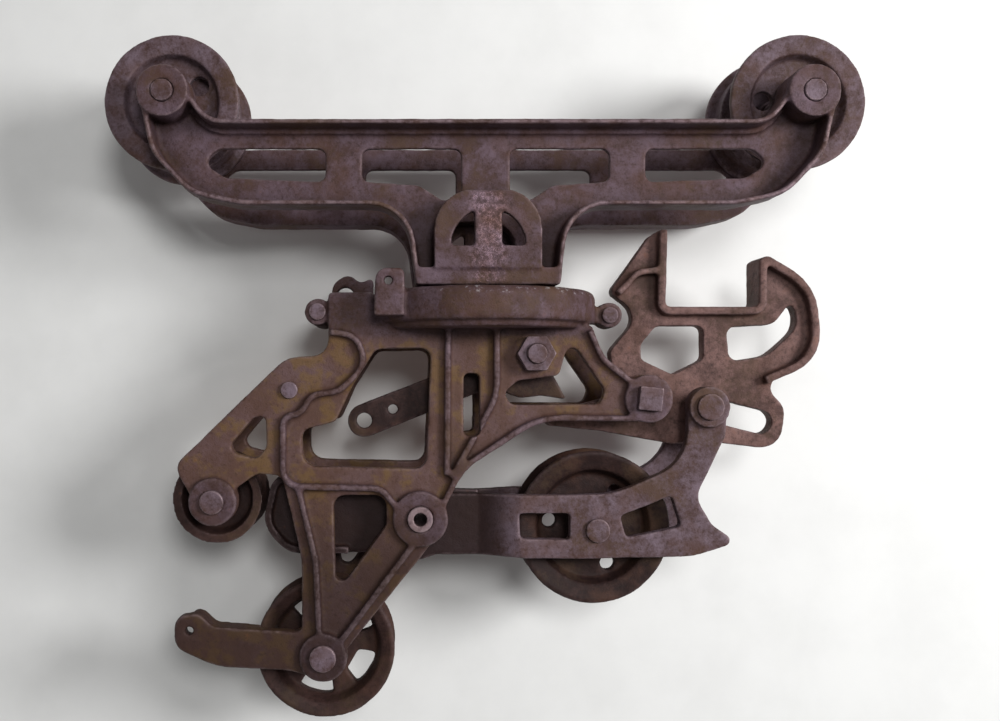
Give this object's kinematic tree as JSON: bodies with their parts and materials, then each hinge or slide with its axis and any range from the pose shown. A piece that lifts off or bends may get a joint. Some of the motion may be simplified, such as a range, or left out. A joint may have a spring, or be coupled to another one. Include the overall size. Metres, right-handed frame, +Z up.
{
  "type": "hay trolley",
  "caption": "Cast iron hay trolley for an overhead barn track: wheeled truck, swivelling carriage, stop hook, trip lever and rope sheaves.",
  "frame": {"origin": "on the track surface under the wheel treads, midway between the axles and between the side plates", "axes": "+X along the track towards the stop hook, +Y across the track, +Z up"},
  "size_m": [0.634, 0.194, 0.575],
  "materials": {
    "rusty_casting": "rough rusty casting",
    "dark_casting": "dark rusty casting",
    "worn_wheel": "rusty casting worn smooth",
    "rusty_steel": "rusty wrought fasteners"
  },
  "bodies": {
    "truck": {"truck_side_front": "rusty_casting", "truck_side_back": "rusty_casting", "swivel_post": "dark_casting", "axle_front_left": "rusty_steel", "axle_front_right": "rusty_steel", "axle_back_left": "rusty_steel", "axle_back_right": "rusty_steel"},
    "wheel_front_left": {"wheel_front_left": "worn_wheel"},
    "wheel_front_right": {"wheel_front_right": "worn_wheel"},
    "wheel_back_left": {"wheel_back_left": "worn_wheel"},
    "wheel_back_right": {"wheel_back_right": "worn_wheel"},
    "carriage": {"frame_front": "rusty_casting", "frame_back": "rusty_casting", "ring_bolts": "rusty_steel", "upper_spacer": "dark_casting", "upper_spacer_bolt": "rusty_steel", "trip_bolt": "rusty_steel", "trip_nut": "rusty_steel", "hook_bolt": "rusty_steel", "hook_nut": "rusty_steel", "arm_pivot_tube": "rusty_steel", "brace_rivet": "rusty_steel", "brace_spacer": "dark_casting", "roller_axle": "rusty_steel", "sheave_axle": "rusty_steel"},
    "guide_roller": {"guide_roller": "worn_wheel"},
    "lower_sheave": {"lower_sheave": "worn_wheel"},
    "sheave_arm": {"arm_cheek_front": "rusty_casting", "arm_cheek_back": "rusty_casting", "arm_sheave_axle": "rusty_steel", "slot_bolt": "rusty_steel", "slot_nut": "rusty_steel"},
    "arm_sheave": {"arm_sheave": "worn_wheel"},
    "stop_hook": {"stop_hook": "rusty_casting"},
    "trip_lever": {"trip_lever": "dark_casting"}
  },
  "joints": [
    {"name": "wheel_front_left_spin", "type": "hinge", "parent": "truck", "child": "wheel_front_left", "pos_m": [-0.261, 0, 0.049], "axis": [0, 1, 0], "continuous": true},
    {"name": "wheel_front_right_spin", "type": "hinge", "parent": "truck", "child": "wheel_front_right", "pos_m": [0.261, 0, 0.049], "axis": [0, 1, 0], "continuous": true},
    {"name": "wheel_back_left_spin", "type": "hinge", "parent": "truck", "child": "wheel_back_left", "pos_m": [-0.261, 0, 0.049], "axis": [0, 1, 0], "continuous": true},
    {"name": "wheel_back_right_spin", "type": "hinge", "parent": "truck", "child": "wheel_back_right", "pos_m": [0.261, 0, 0.049], "axis": [0, 1, 0], "continuous": true},
    {"name": "carriage_swivel", "type": "hinge", "parent": "truck", "child": "carriage", "pos_m": [0, 0, -0.125], "axis": [0, 0, 1], "continuous": true},
    {"name": "guide_roller_spin", "type": "hinge", "parent": "carriage", "child": "guide_roller", "pos_m": [-0.225, 0, -0.283], "axis": [0, 1, 0], "continuous": true},
    {"name": "lower_sheave_spin", "type": "hinge", "parent": "carriage", "child": "lower_sheave", "pos_m": [-0.134, 0, -0.411], "axis": [0, 1, 0], "continuous": true},
    {"name": "arm_swing", "type": "hinge", "parent": "carriage", "child": "sheave_arm", "pos_m": [-0.054, 0, -0.297], "axis": [0, 1, 0], "range_deg": [0, 8]},
    {"name": "arm_sheave_spin", "type": "hinge", "parent": "sheave_arm", "child": "arm_sheave", "pos_m": [0.094, 0, -0.308], "axis": [0, 1, 0], "continuous": true},
    {"name": "hook_swing", "type": "hinge", "parent": "carriage", "child": "stop_hook", "pos_m": [0.134, 0, -0.198], "axis": [0, 1, 0], "range_deg": [0, 25.2]},
    {"name": "trip_swing", "type": "hinge", "parent": "carriage", "child": "trip_lever", "pos_m": [0.041, 0, -0.161], "axis": [0, 1, 0], "range_deg": [0, 15]}
  ],
  "couplings": [
    {"joint": "hook_swing", "follows": "arm_swing", "ratio": 3.15}
  ]
}
